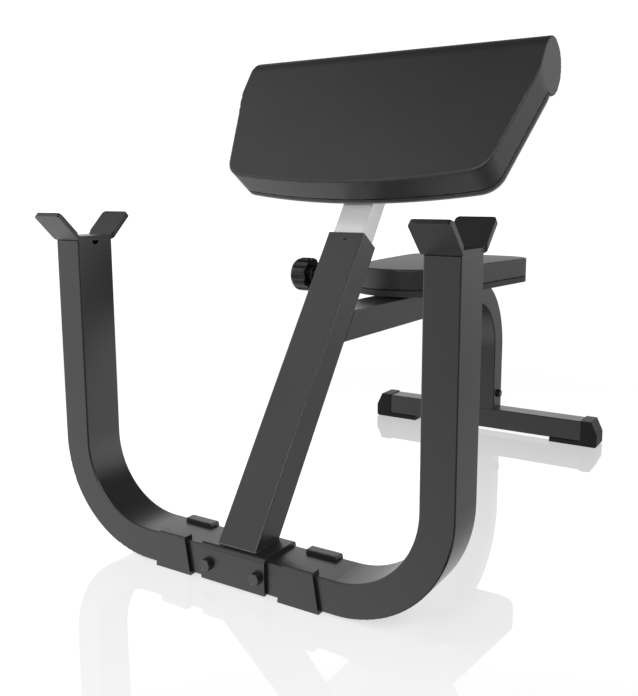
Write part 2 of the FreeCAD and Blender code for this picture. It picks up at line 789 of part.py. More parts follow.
def armPad():
    low = d.sleeveLength + d.padStandoff
    postFront = -d.postDeep / 2
    boardBack = postFront - d.bracketThick
    boardFront = boardBack - d.padBoardThick
    padFront = boardFront - d.padThick
    rollY = padFront + d.padRoll
    rollZ = d.padSlope
    tuckDrop = math.sqrt(d.padRoll ** 2 - (boardFront - rollY) ** 2)
    boardEnd = rollZ - tuckDrop - d.boardGap
    padFrame = leanFrame.multiply(Placement(Vector(0, 0, low), Rotation()))

    # slab whose face leaves the roll at a tangent and falls back a little towards the lower edge
    fall = math.degrees(math.asin(d.padCrown / rollZ))
    rollFrame = Placement(Vector(0, rollY, rollZ), Rotation(Vector(1, 0, 0), fall))
    body = newBody("PadSlab")
    front = sketchOn(body, "XZ_Plane", "PadOutline", d.padRoll)
    addOutline(front, padOutline(0.0, rollZ, -rollZ))
    pad(body, front, "2 * padThick").Reversed = True
    doc.recompute()

    def faceRim(edge):
        onFace = at(-d.padRoll)(middle(edge).y) and isFlat(edge.BoundBox.YLength)
        return onFace and not isFlat(middle(edge).z)

    fillet(body, faceRim, "padEdge")
    body.Placement = rollFrame
    behind = block("PadBehind", ["padWidth + 2 * overrun", "3 * padThick", "padSlope + 3 * padRoll"],
                   (-d.padWidth / 2 - d.overrun, boardFront, -d.padRoll))
    slab = cut("PadSlabFlat", body, [behind])
    doc.recompute()
    slabRounded = doc.addObject("Part::Fillet", "PadSlabTucked")
    slabRounded.Base = slab
    backRim = [index for index, edge in enumerate(slab.Shape.Edges, start=1)
               if at(boardFront)(edge.BoundBox.YMin) and isFlat(edge.BoundBox.YLength)
               and not runsAlong(edge, (1, 0, 0))]
    slabRounded.Edges = [(index, d.padTuck, d.padTuck) for index in backRim]

    roll = rod("PadRollBar", "padRoll", "padWidth", (-d.padWidth / 2, rollY, rollZ), (1, 0, 0))
    doc.recompute()
    rollRounded = doc.addObject("Part::Fillet", "PadRollRounded")
    rollRounded.Base = roll
    rollRims = [index for index, edge in enumerate(roll.Shape.Edges, start=1)
                if isFlat(edge.BoundBox.XLength)]
    rollRounded.Edges = [(index, d.padEdge, d.padEdge) for index in rollRims]
    node("arm_pad", fuse("ArmPad", [slabRounded, rollRounded]), padFrame)

    board = newBody("PadBoardForm")
    outline = sketchOn(board, "XZ_Plane", "PadBoardOutline", -boardFront)
    addOutline(outline, padOutline(d.padBoardInset, rollZ + d.padRoll + d.overrun))
    pad(board, outline, "padBoardThick").Reversed = True
    above = block("PadBoardTop", ["padWidth", "padBoardThick + 2 * overrun", "padSlope"],
                  (-d.padWidth / 2, boardFront - d.overrun, boardEnd))
    bracketMid = d.bracketRise + d.bracketHeight / 2
    spots = [(across * d.padBoltAcross / 2, bracketMid + up * d.padBoltAlong / 2)
             for across in (-1, 1) for up in (-1, 1)]
    bores = [above]
    for x, z in spots:
        bores.append(rod("PadTeeBore", "teeBarrel / 2 + threadSlack", "padBoardThick + 2 * overrun",
                         (x, boardFront - d.overrun, z), (0, 1, 0)))
        bores.append(rod("PadTeeSeat", "teeFlange / 2 + boltSlack", "teeFlangeThick + overrun",
                         (x, boardFront - d.overrun, z), (0, 1, 0)))
    node("pad_board", cut("PadBoard", board, bores), padFrame)

    plate = newBody("BracketPlate")
    outline = sketchOn(plate, "XZ_Plane", "BracketOutline", -boardBack)
    addOutline(outline, rectangle(d.bracketWidth, d.bracketHeight, d.bracketCorner, (0.0, bracketMid)))
    pad(plate, outline, "bracketThick").Reversed = True
    drills = [rod("BracketHole", "eightShank / 2 + boltSlack", "bracketThick + 2 * overrun",
                  (x, boardBack - d.overrun, z), (0, 1, 0)) for x, z in spots]
    node("pad_bracket", cut("Bracket", plate, drills), padFrame)

    seats = [(x, postFront, z) for x, z in spots]
    fasteners("pad", seats, (0, 1, 0), "bracketThick", "padBoardThick", padFrame)


# bolts, washers and tee nuts that clamp a board to a plate, at each seat of a washer on the plate
def fasteners(name, seats, outward, plate, board, frame=Placement()):
    title = name.title()
    bolts, washers, tees = [], [], []
    way = Vector(*outward)
    inward = tuple(-way)
    depth = getattr(d, plate) + getattr(d, board)
    reach = f"eightWasherThick + {plate} + {board} - teeFlangeThick"
    for seat in seats:
        head = Vector(*seat) + way * d.eightWasherThick
        bolts.append(hexBolt(title + "Bolt", "eight", tuple(head), inward, reach))
        washers.append(washer(title + "Washer", "eight", seat, outward))
        tees.append(teeNut(title + "Tee", tuple(Vector(*seat) - way * depth), outward, board))
    node(name + "_bolts", gather(title + "Bolts", bolts), frame)
    node(name + "_washers", gather(title + "Washers", washers), frame)
    node(name + "_tee_nuts", gather(title + "TeeNuts", tees), frame)


def teeNut(name, start, axis, boardThick):
    flange = rod(name + "Flange", "teeFlange / 2", "teeFlangeThick", start, axis)
    barrel = rod(name + "Barrel", "teeBarrel / 2", f"{boardThick} - teeShort", start, axis)
    bore = rod(name + "Bore", "eightShank / 2 + threadSlack", f"{boardThick} + overrun", start, axis)
    return cut(name, fuse(name + "Body", [flange, barrel]), [bore])


# level beam from the sleeve to the rear, bent down into the leg
def beam():
    bendY = legY - d.bendRadius
    bendZ = beamZ - d.bendRadius
    dip = d.bendRadius * math.cos(math.radians(45))
    start = sleeveY + beamZ * math.tan(lean) - d.tubeNarrow
    path = [
        line((legY, barTop), (legY, bendZ)),
        arc((legY, bendZ), (bendY + dip, bendZ + dip), (bendY, beamZ)),
        line((bendY, beamZ), (start, beamZ)),
    ]
    body = bentTube("BeamTube", barTop, (0.0, legY), d.tubeWide, d.tubeNarrow, "YZ_Plane", path)
    # the front end is mitred to the back of the sleeve
    mitre = block("BeamMitre", ["tubeWide + 2 * overrun", "4 * tubeNarrow", "sleeveLength"], (0, 0, 0))
    corner = Vector(-d.tubeWide / 2 - d.overrun, d.tubeNarrow / 2 - 4 * d.tubeNarrow, 0)
    mitre.Placement = Placement(leanFrame.multVec(corner), leanFrame.Rotation)
    node("seat_beam", cut("Beam", body, [mitre, legHole("BeamLegHole")]))


def legHole(name):
    start = (-d.tubeWide / 2 - d.overrun, legY, legBoltZ)
    return rod(name, "tenShank / 2 + boltSlack", "tubeWide + 2 * overrun", start, (1, 0, 0))


# seat: bullet-shaped outline with a round nose, x across and y back from the nose
def seatOutline(inset):
    radius = d.seatNose - inset
    centre = Vector(0, d.seatNose, 0)
    corner = Vector(d.seatRearWidth / 2 - inset, d.seatLength - inset, 0)
    away = corner - centre
    tangent = math.atan2(away.y, away.x) - math.acos(radius / away.Length)
    touch = centre + Vector(math.cos(tangent), math.sin(tangent), 0) * radius
    between = (tangent - math.pi / 2) / 2
    onNose = centre + Vector(math.cos(between), math.sin(between), 0) * radius
    rear = roundCorner(tuple(touch), tuple(corner), (-corner.x, corner.y, 0), d.seatRearCorner)
    nose = (0.0, inset)
    mirrored = [(-x, y) for x, y in rear]
    return [
        arc(nose, (onNose.x, onNose.y), (touch.x, touch.y)),
        line((touch.x, touch.y), rear[0]),
        arc(*rear),
        line(rear[2], mirrored[2]),
        arc(mirrored[2], mirrored[1], mirrored[0]),
        line(mirrored[0], (-touch.x, touch.y)),
        arc((-touch.x, touch.y), (-onNose.x, onNose.y), nose),
    ]


def seat():
    plateTop = d.beamTop + d.seatPlateThick
    boardTop = plateTop + d.seatBoardThick
    noseY = frontY + d.seatFront
    cushion = newBody("SeatCushion")
    outline = sketchOn(cushion, "XY_Plane", "SeatCushionOutline")
    addOutline(outline, seatOutline(0.0))
    pad(cushion, outline, "seatThick")
    # low crown over the whole top, firm upper edge, lower edge drawn in to the board
    halfLength = d.seatLength / 2
    domeRadius = (halfLength ** 2 + d.seatCrown ** 2) / (2 * d.seatCrown)
    dome = doc.addObject("Part::Sphere", "SeatDome")
    bind(dome, Radius="( seatLength * seatLength / 4 + seatCrown * seatCrown ) / ( 2 * seatCrown )")
    dome.Placement = Placement(Vector(0, halfLength, d.seatThick - domeRadius), along((0, 1, 0)))
    crowned = common("SeatCrowned", cushion, dome)
    doc.recompute()
    rounded = doc.addObject("Part::Fillet", "SeatRounded")
    rounded.Base = crowned
    rims = []
    for index, edge in enumerate(crowned.Shape.Edges, start=1):
        if not runsAlong(edge, (0, 0, 1)):
            radius = d.seatTuck if isFlat(middle(edge).z) else d.seatEdge
            rims.append((index, radius, radius))
    rounded.Edges = rims
    node("seat_pad", rounded, Placement(Vector(0, noseY, boardTop), Rotation()))

    spots = [(side * d.seatBoltAcross / 2, noseY + place)
             for place in (d.seatPlateFront, d.seatPlateRear) for side in (-1, 1)]
    board = newBody("SeatBoardForm")
    outline = sketchOn(board, "XY_Plane", "SeatBoardOutline")
    addOutline(outline, seatOutline(d.seatBoardInset))
    pad(board, outline, "seatBoardThick")
    board.Placement = Placement(Vector(0, noseY, plateTop), Rotation())
    bores = []
    for x, y in spots:
        bores.append(rod("SeatTeeBore", "teeBarrel / 2 + threadSlack", "seatBoardThick + 2 * overrun",
                         (x, y, plateTop - d.overrun), (0, 0, 1)))
        bores.append(rod("SeatTeeSeat", "teeFlange / 2 + boltSlack", "teeFlangeThick + overrun",
                         (x, y, boardTop - d.teeFlangeThick), (0, 0, 1)))
    node("seat_board", cut("SeatBoard", board, bores))

    for name, place in (("front", d.seatPlateFront), ("rear", d.seatPlateRear)):
        corner = (-d.seatPlateLong / 2, noseY + place - d.seatPlateWide / 2, d.beamTop)
        sizes = ["seatPlateLong", "seatPlateWide", "seatPlateThick"]
        plate = block("SeatPlate" + name.title(), sizes, corner)
        drills = [rod("SeatPlateHole", "eightShank / 2 + boltSlack", "seatPlateThick + 2 * overrun",
                      (side * d.seatBoltAcross / 2, noseY + place, d.beamTop - d.overrun), (0, 0, 1))
                  for side in (-1, 1)]
        node("seat_plate_" + name, cut("SeatPlate" + name.title() + "Drilled", plate, drills))

    seats = [(x, y, d.beamTop) for x, y in spots]
    fasteners("seat", seats, (0, 0, -1), "seatPlateThick", "seatBoardThick")


# rear foot: bar on two moulded caps, with a stub that the leg slides over
def rearFoot():
    half = d.barSide / 2
    tube = newBody("BarTube")
    section = sketchOn(tube, "YZ_Plane", "BarSection")
    tubeProfile(section, d.barSide, d.barSide, d.tubeWall, d.tubeCorner, (legY, d.barSole + half))
    pad(tube, section, "barLength", True)
    node("rear_bar", tube)

    slack = d.tubeWall + d.spigotSlack
    stub = straightTube("SpigotTube", d.tubeWide - 2 * slack, d.tubeNarrow - 2 * slack, d.spigotWall,
                        d.spigotWall + d.spigotSlack, "spigotHeight", barTop)
    stub.Placement = Placement(Vector(0, legY, 0), Rotation())
    node("rear_spigot", cut("Spigot", stub, [legHole("SpigotHole")]))

    for label, side in (("end_cap_left", -1), ("end_cap_right", 1)):
        endCap(label, side)

    right = d.tubeWide / 2
    reach = "tubeWide + 2 * tenWasherThick + tenNut + boltStub"
    bolt = hexBolt("LegBolt", "ten", (right + d.tenWasherThick, legY, legBoltZ), (-1, 0, 0), reach)
    node("leg_bolt", bolt)
    washers = [washer("LegWasher", "ten", (side * right, legY, legBoltZ), (side, 0, 0)) for side in (-1, 1)]
    node("leg_washers", gather("LegWashers", washers))
    node("leg_nut", hexNut("LegNut", "ten", (-right - d.tenWasherThick, legY, legBoltZ), (-1, 0, 0)))


def endCap(label, side):
    # front outline of the cap for the bar's right end, x out from the middle of the bar
    bare = d.barLength / 2
    end = bare + d.capEnd
    top = barTop + d.capWall
    outline = [
        (end - d.capPad, 0.0), (end, 0.0), (end, top - d.capSlopeDrop), (end - d.capSlope, top),
        (end - d.capSkirt, top), (end - d.capSkirt, d.barSole), (end - d.capPad, d.barSole),
    ]
    rounds = [0, d.capFoot, d.capFoot, d.capRound, 0, 0, 0]
    body = newBody("Cap" + label.title().replace("_", ""))
    sketch = sketchOn(body, "XZ_Plane", body.Name + "Front")
    addOutline(sketch, polygon([(side * x, z) for x, z in outline], rounds))
    pad(body, sketch, "barSide + 2 * capWall", True)
    body.Placement = Placement(Vector(0, legY, 0), Rotation())
    hollow = newBody("Hollow" + label.title().replace("_", ""))
    section = sketchOn(hollow, "YZ_Plane", hollow.Name + "Section")
    addOutline(section, rectangle(d.barSide, d.barSide, d.tubeCorner, (legY, d.barSole + d.barSide / 2)))
    pad(hollow, section, "barLength", True)
    node(label, cut("EndCap" + label.title().replace("_", ""), body, [hollow]))


uFrame()
for side, hand in ((-1, "left"), (1, "right")):
    barCatch("bar_catch_" + hand, side)
    footClip("foot_clip_" + hand, side)
saddle()
sleeve()
post()
pullPin()
armPad()
beam()
seat()
rearFoot()
doc.recompute()

# nothing is written unless every object and every sub-part came out whole
for obj in doc.Objects:
    if "Invalid" in obj.State or "Error" in obj.State:
        raise RuntimeError(f"{obj.Name} failed: {obj.State}")
for obj in nodes:
    if obj.Shape.isNull() or not obj.Shape.isValid() or not obj.Shape.Solids:
        raise RuntimeError(f"{obj.Label} has no valid solid")

os.makedirs("parts", exist_ok=True)
for obj in nodes:
    obj.Shape.exportStep(os.path.join("parts", obj.Label + ".step"))
    box = obj.Shape.optimalBoundingBox(False, False)
    spans = " ".join(f"{axis} {low:.1f}..{high:.1f}" for axis, low, high in (
        ("x", box.XMin, box.XMax), ("y", box.YMin, box.YMax), ("z", box.ZMin, box.ZMax)))
    print(f"{obj.Label}: {len(obj.Shape.Solids)} solid(s), {obj.Shape.Volume / 1000:.1f} cm3, {spans}")
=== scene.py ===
import json
import math

import bmesh
import bpy
import numpy as np
from mathutils import Matrix, Vector


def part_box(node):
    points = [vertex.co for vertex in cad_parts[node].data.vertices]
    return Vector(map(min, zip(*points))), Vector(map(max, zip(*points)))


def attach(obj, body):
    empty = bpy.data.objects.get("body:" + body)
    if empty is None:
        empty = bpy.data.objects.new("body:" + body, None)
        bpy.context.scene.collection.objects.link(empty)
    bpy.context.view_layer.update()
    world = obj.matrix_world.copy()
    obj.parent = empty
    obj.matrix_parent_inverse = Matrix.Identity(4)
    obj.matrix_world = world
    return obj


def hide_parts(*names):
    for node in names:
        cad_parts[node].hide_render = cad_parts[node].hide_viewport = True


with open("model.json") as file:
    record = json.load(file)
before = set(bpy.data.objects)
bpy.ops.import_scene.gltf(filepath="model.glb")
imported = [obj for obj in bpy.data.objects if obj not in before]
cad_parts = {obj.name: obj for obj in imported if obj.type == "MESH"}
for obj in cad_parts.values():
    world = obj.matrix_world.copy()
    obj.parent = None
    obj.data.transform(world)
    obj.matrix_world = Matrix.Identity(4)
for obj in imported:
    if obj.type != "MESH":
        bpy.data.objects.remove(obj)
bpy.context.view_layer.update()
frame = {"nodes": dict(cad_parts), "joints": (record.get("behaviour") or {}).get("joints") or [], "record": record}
scene = bpy.context.scene
mm = 0.001
print("frame loaded:", len(frame["nodes"]), "nodes")

# the post slides along the lean, so its joint gives the angle
leanAxis = next(joint["axis"] for joint in frame["joints"] if joint["name"] == "post_slide")
leanAngle = math.atan2(leanAxis[1], leanAxis[2])


# camera
cameraView = {
    # metres from the middle of the front tube's face, on the floor
    "fromFront": (0.7513, -0.9337, 0.5953),
    "yaw": 31.46,               # degrees to the left of +Y
    "pitch": 9.26,              # degrees below level
    "focalPixels": 825.71,
    "axisPixel": (334.44, 329.27),
    "picture": (638, 696),
    "sensor": 36,               # mm along the picture's long side
}


def placeCamera(settings):
    data = bpy.data.cameras.new("camera")
    camera = bpy.data.objects.new("camera", data)
    scene.collection.objects.link(camera)
    wide, high = settings["picture"]
    longSide = max(wide, high)
    across, down = settings["axisPixel"]
    data.sensor_width = settings["sensor"]
    data.lens = settings["sensor"] * settings["focalPixels"] / longSide
    data.shift_x = (wide / 2 - across) / longSide
    data.shift_y = (down - high / 2) / longSide
    camera.location = Vector(settings["fromFront"]) + Vector((0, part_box("u_frame")[0][1], 0))
    camera.rotation_euler = (math.radians(90 - settings["pitch"]), 0, math.radians(settings["yaw"]))
    scene.camera = camera


placeCamera(cameraView)


# colours, texture scales and nodes
edgeSamples = 6                 # rays that round a corner off in the edge test
waveBands = 20 / (2 * math.pi)  # bands that the wave texture draws in a metre at scale 1


def hexColour(text):
    # sRGB hex to the linear colour that shaders take
    parts = [int(text[start:start + 2], 16) / 255 for start in (1, 3, 5)]
    return [p / 12.92 if p <= 0.04045 else ((p + 0.055) / 1.055) ** 2.4 for p in parts] + [1.0]


def perMm(size):
    # texture scale for a pattern that repeats every so many millimetres
    return 1 / (size * mm)


def addNode(tree, kind, settings=None, inputs=None):
    node = tree.nodes.new(kind)
    for name, value in (settings or {}).items():
        setattr(node, name, value)
    for key, value in (inputs or {}).items():
        if isinstance(value, bpy.types.NodeSocket):
            tree.links.new(value, node.inputs[key])
        else:
            node.inputs[key].default_value = value
    return node


def startMaterial(name, shaderInputs):
    material = bpy.data.materials.new(name)
    material.use_nodes = True
    tree = material.node_tree
    tree.nodes.clear()
    shader = addNode(tree, "ShaderNodeBsdfPrincipled", inputs=shaderInputs)
    addNode(tree, "ShaderNodeOutputMaterial", inputs={"Surface": shader.outputs["BSDF"]})
    place = addNode(tree, "ShaderNodeTexCoord").outputs["Object"]
    return material, tree, shader, place


def noise(tree, place, scale, detail, wander=0.0):
    return addNode(tree, "ShaderNodeTexNoise", None,
                   {"Vector": place, "Scale": scale, "Detail": detail, "Distortion": wander}).outputs


def pebbles(tree, place, size, softness):
    return addNode(tree, "ShaderNodeTexVoronoi", {"feature": "SMOOTH_F1"},
                   {"Vector": place, "Scale": perMm(size), "Smoothness": softness}).outputs["Distance"]


def mapRange(tree, value, start, end, low=0.0, high=1.0, kind="LINEAR"):
    # low where the value is at start, high where it is at end
    return addNode(tree, "ShaderNodeMapRange", {"interpolation_type": kind},
                   {"Value": value, "From Min": start, "From Max": end,
                    "To Min": low, "To Max": high}).outputs["Result"]


def multiply(tree, first, second):
    return addNode(tree, "ShaderNodeMath", {"operation": "MULTIPLY"},
                   {0: first, 1: second}).outputs["Value"]


def mixTones(tree, share, first, second):
    # the first colour at share 0, the second at 1, each given as hex or as a node's output;
    # the mix node has its colours in sockets 6 and 7, and gives theirs in socket 2
    tones = [hexColour(tone) if isinstance(tone, str) else tone for tone in (first, second)]
    return addNode(tree, "ShaderNodeMix", {"data_type": "RGBA"},
                   {0: share, 6: tones[0], 7: tones[1]}).outputs[2]


def edgeHighlightShare(tree, radius, turn):
    # mask of the painted edge highlight, 1 on outer edges and corners, 0 on flats: how far the rounded-off normal
    # leaves the true one (1 less the cosine), from where that begins to show to where it is full
    rounded = addNode(tree, "ShaderNodeBevel", {"samples": edgeSamples}, {"Radius": radius * mm})
    true = addNode(tree, "ShaderNodeNewGeometry").outputs["True Normal"]
    match = addNode(tree, "ShaderNodeVectorMath", {"operation": "DOT_PRODUCT"},
                    {0: rounded.outputs["Normal"], 1: true}).outputs["Value"]
    least, most = turn
    return mapRange(tree, match, 1 - least, 1 - most)


def setTone(tree, shader, settings, pattern):
    # dark to light with the pattern, and the edge colour on outer edges and corners: a painted highlight for light
    # caught by rounded edges
    tone = mixTones(tree, pattern, settings["dark"], settings["light"])
    if "edge" in settings:
        # painted edge highlight: the edge colour wherever the mask finds a rounded edge
        edge = edgeHighlightShare(tree, settings["edgeRadius"], settings["edgeTurn"])
        tone = mixTones(tree, edge, tone, settings["edge"])
    tree.links.new(tone, shader.inputs["Base Color"])


def setGloss(tree, shader, settings, pattern, reach=1.0):
    # the first roughness where the pattern is 0, the second where it comes to its reach
    gloss = mapRange(tree, pattern, 0.0, reach, *settings["roughness"])
    tree.links.new(gloss, shader.inputs["Roughness"])


def setBump(tree, shader, pattern, depth, invert=False):
    bump = addNode(tree, "ShaderNodeBump", {"invert": invert},
                   {"Height": pattern, "Distance": depth * mm})
    tree.links.new(bump.outputs["Normal"], shader.inputs["Normal"])


# satin black powder coat baked on steel: an even dark grey, slightly pebbled, with a painted highlight a shade
# lighter on its edges
powderSettings = {
    "name": "powder_coated_steel",
    # edge: colour of the painted edge highlight
    "dark": "#131314", "light": "#191919", "edge": "#3a3a3b",
    "IOR": 1.62,
    "cloud": 90, "cloudDetail": 3.0,   # mm, slow drift of the coat's tone
    "peel": 2.6, "peelDetail": 1.0,    # mm, coarser than the real 0.8 mm so that it shows
    "peelDepth": 0.03,                 # mm
    "roughness": (0.3, 0.38),
    "edgeRadius": 1.6,                 # mm
    "edgeTurn": (0.02, 0.35),
}


def powderCoat(settings):
    material, tree, shader, place = startMaterial(settings["name"], {"IOR": settings["IOR"]})
    cloud = noise(tree, place, perMm(settings["cloud"]), settings["cloudDetail"])["Fac"]
    peel = noise(tree, place, perMm(settings["peel"]), settings["peelDetail"])["Fac"]
    setTone(tree, shader, settings, cloud)
    setGloss(tree, shader, settings, cloud)
    setBump(tree, shader, peel, settings["peelDepth"])
    return material


# satin chrome on the drawn tube: a pale soft sheen more than a mirror, faint lines along the draw,
# a white painted highlight on the corners
chromeSettings = {
    # edge: colour of the painted corner highlight
    "dark": "#d8d9d9", "light": "#e2e2e3", "edge": "#ffffff",
    "metallic": 0.25,
    "line": 1.2, "lineDetail": 3.0,    # mm across the draw, coarser than the real 0.1 mm so that it shows
    "lineRun": 160,                    # mm along the draw
    "lineDepth": 0.002,                # mm
    "roughness": (0.26, 0.34),
    "edgeRadius": 1.4,                 # mm
    "edgeTurn": (0.02, 0.3),
}


def satinChrome(settings):
    material, tree, shader, place = startMaterial("satin_chrome", {"Metallic": settings["metallic"]})
    fine = perMm(settings["line"])
    drawn = addNode(tree, "ShaderNodeMapping", None,
                    {"Vector": place, "Rotation": (leanAngle, 0, 0),
                     "Scale": (fine, fine, perMm(settings["lineRun"]))}).outputs["Vector"]
    lines = noise(tree, drawn, 1.0, settings["lineDetail"])["Fac"]
    setTone(tree, shader, settings, lines)
    setGloss(tree, shader, settings, lines)
    setBump(tree, shader, lines, settings["lineDepth"])
    return material


# injection-moulded plastic: an even spark-eroded grain, a little greyer on the edges with a painted highlight;
# grain, its depth, drift and edge radius in mm
mouldedSettings = {
    "nylon": {
        "name": "moulded_nylon",
        "dark": "#111111", "light": "#181818", "edge": "#262627", "shine": 0.75,
        "grain": 1.6, "grainDepth": 0.03, "drift": 32, "roughness": (0.32, 0.42), "edgeRadius": 1.6,
    },
    "polypropylene": {
        "name": "moulded_polypropylene",
        "dark": "#0e0e0e", "light": "#151515", "edge": "#232324", "shine": 0.22,
        "grain": 1.6, "grainDepth": 0.05, "drift": 32, "roughness": (0.42, 0.54), "edgeRadius": 1.6,
    },
    "abs": {
        "name": "moulded_abs",
        "dark": "#060606", "light": "#0b0b0b", "edge": "#2a2a2a", "shine": 0.4,
        "grain": 2.2, "grainDepth": 0.015, "drift": 44, "roughness": (0.24, 0.32), "edgeRadius": 2.0,
    },
}
mouldedCommon = {"IOR": 1.49, "grainSoft": 1.0, "driftDetail": 2.0, "edgeTurn": (0.02, 0.3)}


def mouldedPlastic(kind):
    settings = dict(mouldedSettings[kind], **mouldedCommon)
    material, tree, shader, place = startMaterial(
        settings["name"], {"IOR": settings["IOR"], "Specular IOR Level": settings["shine"]})
    grain = pebbles(tree, place, settings["grain"], settings["grainSoft"])
    drift = noise(tree, place, perMm(settings["drift"]), settings["driftDetail"])["Fac"]
    setTone(tree, shader, settings, drift)
    setGloss(tree, shader, settings, drift)
    setBump(tree, shader, grain, settings["grainDepth"])
    return material


# calendered vinyl over foam: small uneven pebbles with soft valleys, matte with a faint sheen
vinylSettings = {
    "dark": "#151516", "light": "#1c1c1d",
    "IOR": 1.58,
    "pebble": 2.4, "pebbleSoft": 0.4,  # mm, coarser than the real 1 mm so that it shows
    "pebbleDepth": 0.08,               # mm
    "pebbleReach": 0.6,                # where a valley is at its dullest
    "stir": 4.8, "stirDetail": 1.0,    # mm, what makes the pebbles uneven
    "cloud": 70, "cloudDetail": 2.0,   # mm
    "roughness": (0.42, 0.52),
}


def grainedVinyl(settings):
    material, tree, shader, place = startMaterial("grained_vinyl", {"IOR": settings["IOR"]})
    stir = noise(tree, place, perMm(settings["stir"]), settings["stirDetail"])["Color"]
    bent = addNode(tree, "ShaderNodeVectorMath", {"operation": "MULTIPLY_ADD"},
                   {0: stir, 1: (settings["pebble"] * mm,) * 3, 2: place}).outputs["Vector"]
    pebble = pebbles(tree, bent, settings["pebble"], settings["pebbleSoft"])
    cloud = noise(tree, place, perMm(settings["cloud"]), settings["cloudDetail"])["Fac"]
    setTone(tree, shader, settings, cloud)
    setGloss(tree, shader, settings, pebble, settings["pebbleReach"])
    setBump(tree, shader, pebble, settings["pebbleDepth"], invert=True)
    return material


# birch plywood stained black: long grain on the faces, a paler band of bare plies along the edge, drawn black next
# to the cushion
plySettings = {
    "stain": "#1c1b1b", "grainTone": "#2c2b2a", "plyTone": "#7c7a78",
    "IOR": 1.48,
    "grain": 2.5, "grainRun": 90,      # mm across and along the grain
    "grainDetail": 5.0, "grainWander": 0.6,
    "grainDepth": 0.05,                # mm
    "band": 15.0796,                   # mm from one pale band to the next, one to a board
    "bandDetail": 1.0, "bandWander": 0.4,
    "edgeFacing": (0.8, 0.4),          # how far a face still looks along the board's thickness
    "darkBelowCushion": {"pad_board": 1.5, "seat_board": 20},   # mm below the cushion drawn black: on the leaning board a painted shade line for the gap under the cushion, on the seat board the whole edge
    "darkFade": 1.0,                    # mm over which the black gives way to the plies
    "roughness": (0.55, 0.75),
}


def stainedPlywood(settings, node, turn):
    material, tree, shader, place = startMaterial("stained_plywood_" + node, {"IOR": settings["IOR"]})
    level = addNode(tree, "ShaderNodeMapping", None, {"Vector": place, "Rotation": turn}).outputs["Vector"]
    fine = perMm(settings["grain"])
    drawn = addNode(tree, "ShaderNodeMapping", None,
                    {"Vector": level,
                     "Scale": (perMm(settings["grainRun"]), fine, fine)}).outputs["Vector"]
    grain = noise(tree, drawn, 1.0, settings["grainDetail"], settings["grainWander"])["Fac"]
    face = mixTones(tree, grain, settings["stain"], settings["grainTone"])
    plies = addNode(tree, "ShaderNodeTexWave", {"bands_direction": "Z"},
                    {"Vector": level, "Scale": perMm(settings["band"]) / waveBands,
                     "Distortion": settings["bandWander"],
                     "Detail": settings["bandDetail"]}).outputs["Fac"]

    # the edge is where the surface doesn't look along the board's thickness
    normal = addNode(tree, "ShaderNodeNewGeometry").outputs["True Normal"]
    turned = addNode(tree, "ShaderNodeVectorRotate", {"rotation_type": "X_AXIS"},
                     {"Vector": normal, "Angle": turn[0]}).outputs["Vector"]
    upward = addNode(tree, "ShaderNodeSeparateXYZ", None, {"Vector": turned}).outputs["Z"]
    facing = addNode(tree, "ShaderNodeMath", {"operation": "ABSOLUTE"}, {0: upward}).outputs["Value"]
    onEdge = mapRange(tree, facing, *settings["edgeFacing"])

    # height of the face under the cushion once the board is turned level, and how far the black drawn beside the
    # cushion goes from it
    toLevel = Matrix.Rotation(turn[0], 3, "X")
    padFace = max((toLevel @ point.co).z for point in frame["nodes"][node].data.vertices)
    darkBelowCushion = padFace - settings["darkBelowCushion"][node] * mm
    height = addNode(tree, "ShaderNodeSeparateXYZ", None, {"Vector": level}).outputs["Z"]
    bare = mapRange(tree, height, darkBelowCushion, darkBelowCushion - settings["darkFade"] * mm)
    pale = multiply(tree, plies, multiply(tree, bare, onEdge))
    tone = mixTones(tree, pale, face, settings["plyTone"])
    tree.links.new(tone, shader.inputs["Base Color"])
    setGloss(tree, shader, settings, grain)
    setBump(tree, shader, grain, settings["grainDepth"])
    return material


# plated or blackened steel fasteners: turned and forged faces, mottled by the bath, a painted highlight on the
# corners, bright on zinc and grey on black oxide; mottle and edge radius in mm
fastenerSettings = {
    "black": {
        "name": "black_oxide_steel",
        "dark": "#2c2c2d", "light": "#3c3c3d", "edge": "#7a7a7b", "metallic": 0.8,
        "mottle": 4, "roughness": (0.24, 0.34), "edgeRadius": 0.7,
    },
    # heads in a paler copy of the black oxide: painted light that makes them read as lit
    "rubbed": {
        "name": "black_oxide_steel_painted_lit",
        "dark": "#464647", "light": "#545455", "edge": "#7a7a7b", "metallic": 0.8,
        "mottle": 4, "roughness": (0.24, 0.34), "edgeRadius": 0.7,
    },
    "zinc": {
        "name": "zinc_plated_steel",
        "dark": "#9a9da0", "light": "#c2c5c8", "edge": "#d8dadc", "metallic": 1.0,
        "mottle": 3, "roughness": (0.24, 0.38), "edgeRadius": 0.6,
    },
}
fastenerCommon = {"mottleDetail": 4.0, "edgeTurn": (0.03, 0.3)}


def fastenerSteel(kind):
    settings = dict(fastenerSettings[kind], **fastenerCommon)
    material, tree, shader, place = startMaterial(settings["name"], {"Metallic": settings["metallic"]})
    mottle = noise(tree, place, perMm(settings["mottle"]), settings["mottleDetail"])["Fac"]
    setTone(tree, shader, settings, mottle)
    setGloss(tree, shader, settings, mottle)
    return material


# turns that lay each board level, its cushion on top
flat = (0.0, 0.0, 0.0)
upright = (leanAngle - math.pi / 2, 0.0, 0.0)
finishes = {
    "frame_paint": powderCoat(powderSettings),
    "post_plating": satinChrome(chromeSettings),
    "moulded_black": mouldedPlastic("nylon"),
    "knob_black": mouldedPlastic("abs"),
    "vinyl_black": grainedVinyl(vinylSettings),
    "board_wood": stainedPlywood(plySettings, "seat_board", flat),
    "bolt_black": fastenerSteel("black"),
    "zinc_steel": fastenerSteel("zinc"),
}
